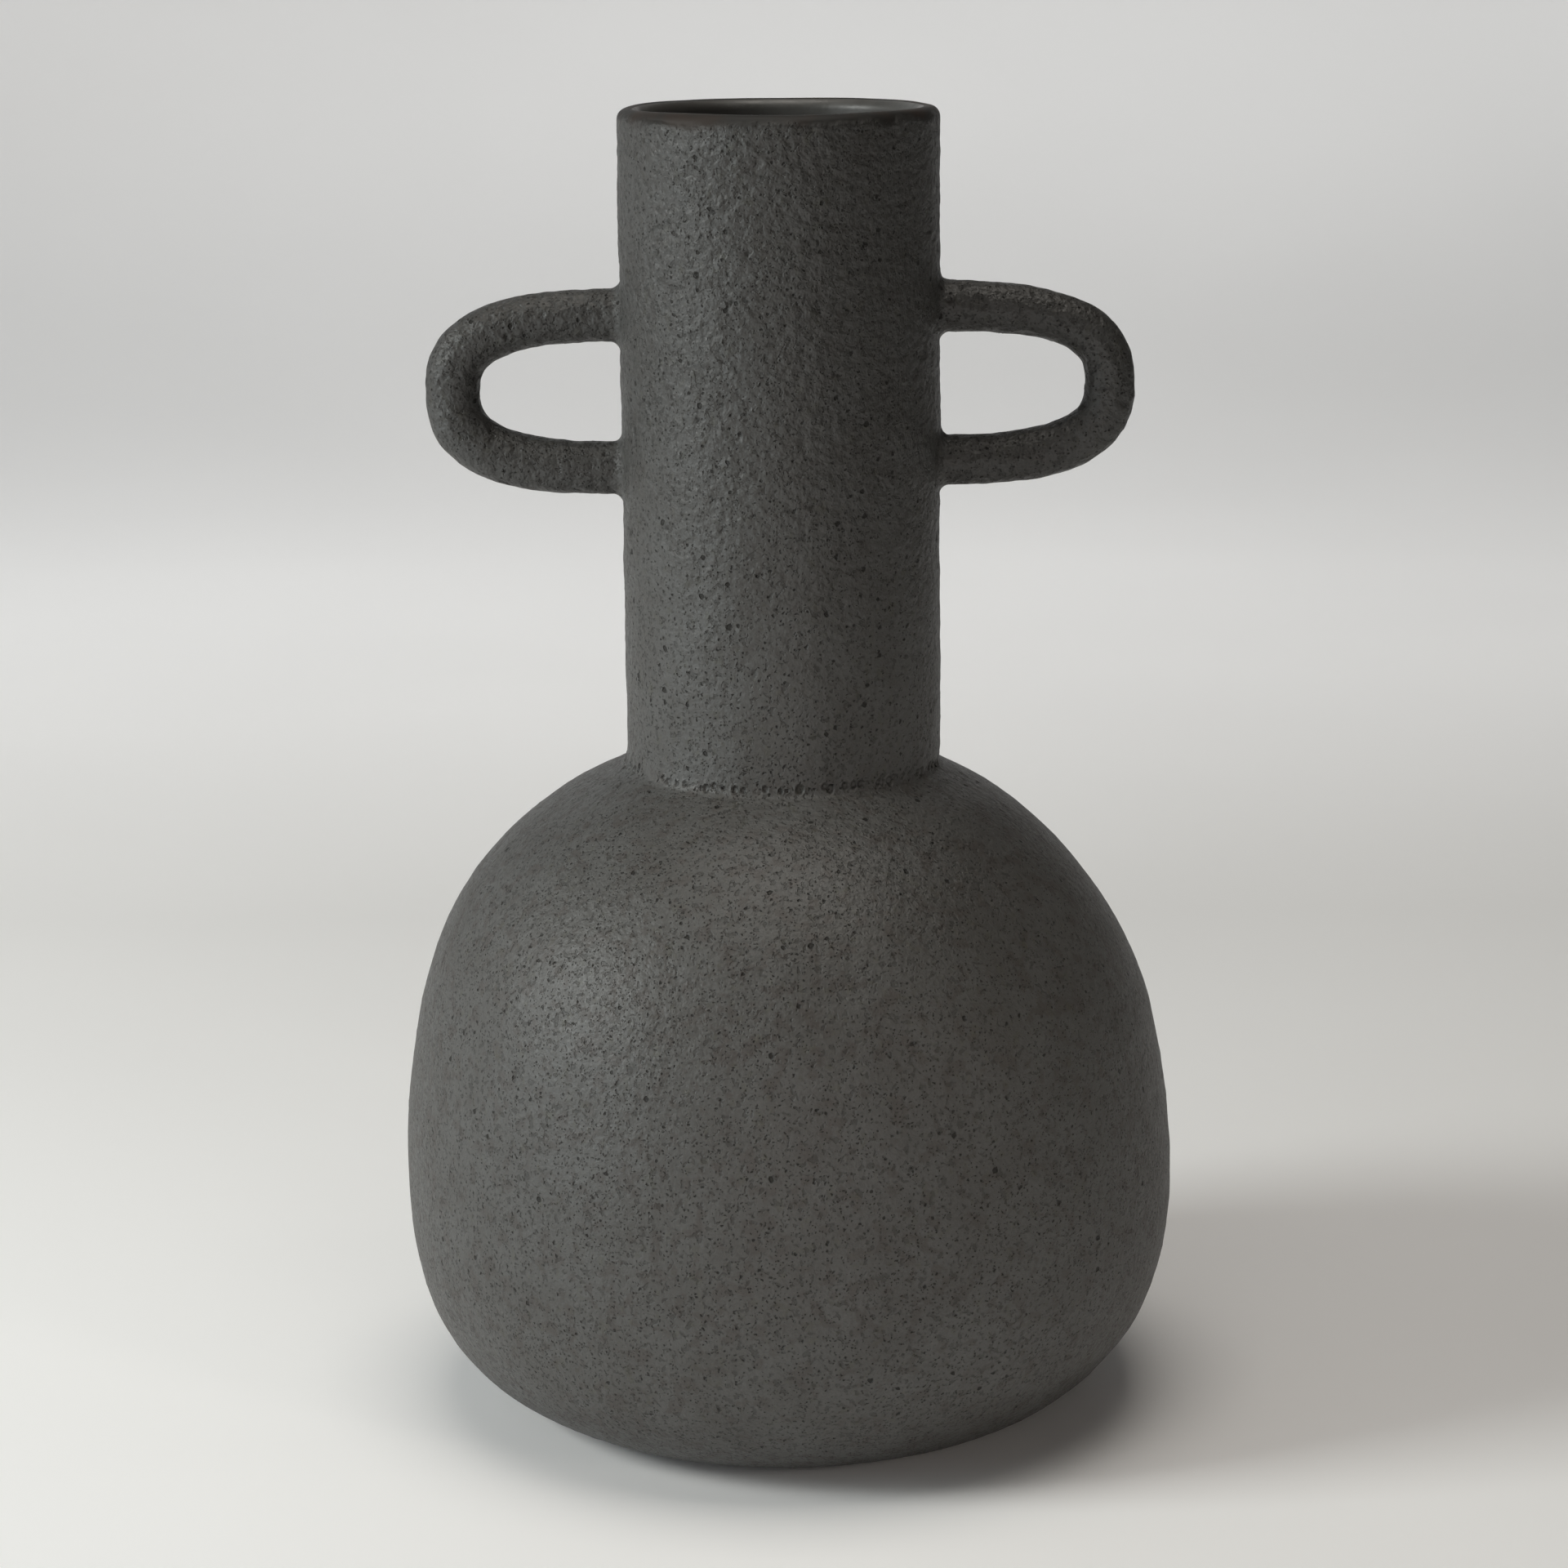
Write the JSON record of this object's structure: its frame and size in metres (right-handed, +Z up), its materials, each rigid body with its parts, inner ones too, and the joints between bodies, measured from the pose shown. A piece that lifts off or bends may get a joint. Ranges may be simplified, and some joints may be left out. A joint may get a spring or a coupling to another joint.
{
  "type": "stoneware vase",
  "caption": "Round-bodied stoneware vase with a tall straight neck, a rounded lip and a small loop handle on each side of the neck.",
  "frame": {"origin": "centre of the flat foot, on the surface the vase stands on", "axes": "+Z up along the vase's axis, +X towards the right handle seen from the front, -Y towards the front"},
  "size_m": [0.1788, 0.1788, 0.3],
  "materials": {
    "volcanic_glaze": "matt charcoal glaze, finely pitted, with faint brown mottling",
    "bare_clay": "unglazed fired stoneware, dry and slightly gritty"
  },
  "bodies": {
    "root": {"floor_slab": "bare_clay", "bulb_wall": "volcanic_glaze", "neck_cylinder": "volcanic_glaze", "neck_seam_coil": "volcanic_glaze", "handle_left": "volcanic_glaze", "handle_left_upper_luting": "volcanic_glaze", "handle_left_lower_luting": "volcanic_glaze", "handle_right": "volcanic_glaze", "handle_right_upper_luting": "volcanic_glaze", "handle_right_lower_luting": "volcanic_glaze"}
  },
  "joints": []
}
